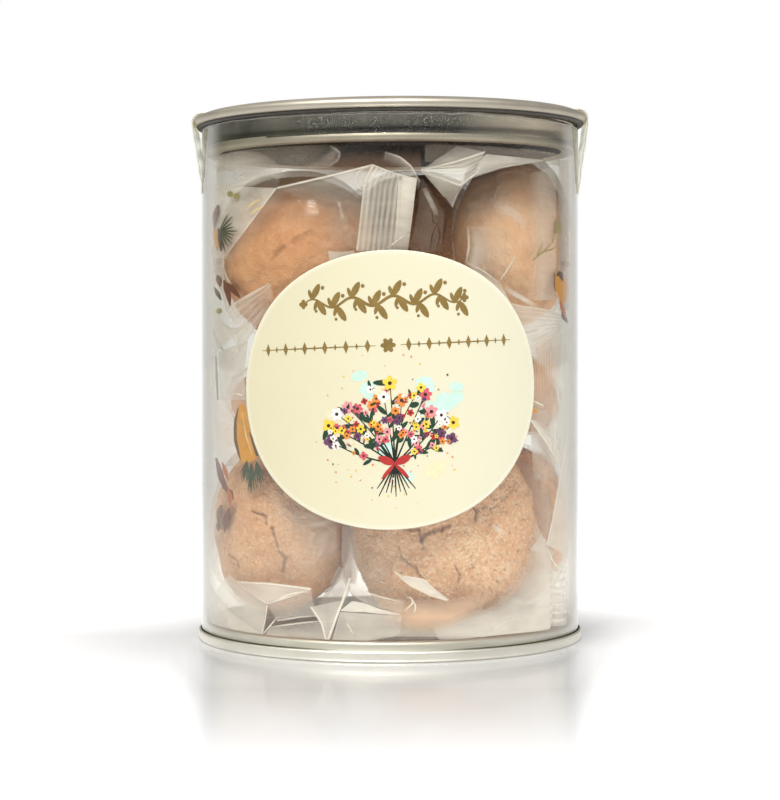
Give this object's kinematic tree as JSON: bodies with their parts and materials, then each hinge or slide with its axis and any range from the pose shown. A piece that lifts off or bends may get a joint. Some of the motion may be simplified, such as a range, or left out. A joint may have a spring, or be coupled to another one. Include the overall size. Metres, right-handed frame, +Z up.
{
  "type": "clear can of wrapped amaretti cookies",
  "caption": "Clear round can with a tinplate lid and base and an oval paper label, filled with soft almond cookies in film wraps.",
  "frame": {"origin": "centre of the seam's flat bottom ring, on the surface the can stands on", "axes": "+Z up along the can's axis, -Y towards the labelled front, +X to the right seen from the front"},
  "size_m": [0.105, 0.1036, 0.1386],
  "materials": {
    "clear_wall": "clear gloss plastic film, 0.45 mm",
    "tinplate": "bright tinplate with fine turning lines",
    "label_paper": "smooth cream paper",
    "clear_tape": "clear tape, slightly yellow",
    "wrapped_cookie": "baked almond dough under clear film"
  },
  "bodies": {
    "root": {"can_wall": "clear_wall", "lid": "tinplate", "base_end": "tinplate", "label": "label_paper", "tape_left": "clear_tape", "tape_right": "clear_tape", "wrapped_cookie_1": "wrapped_cookie", "wrapped_cookie_2": "wrapped_cookie", "wrapped_cookie_3": "wrapped_cookie", "wrapped_cookie_4": "wrapped_cookie", "wrapped_cookie_5": "wrapped_cookie", "wrapped_cookie_6": "wrapped_cookie", "wrapped_cookie_7": "wrapped_cookie", "wrapped_cookie_8": "wrapped_cookie", "wrapped_cookie_9": "wrapped_cookie", "wrapped_cookie_10": "wrapped_cookie", "wrapped_cookie_11": "wrapped_cookie"}
  },
  "joints": []
}
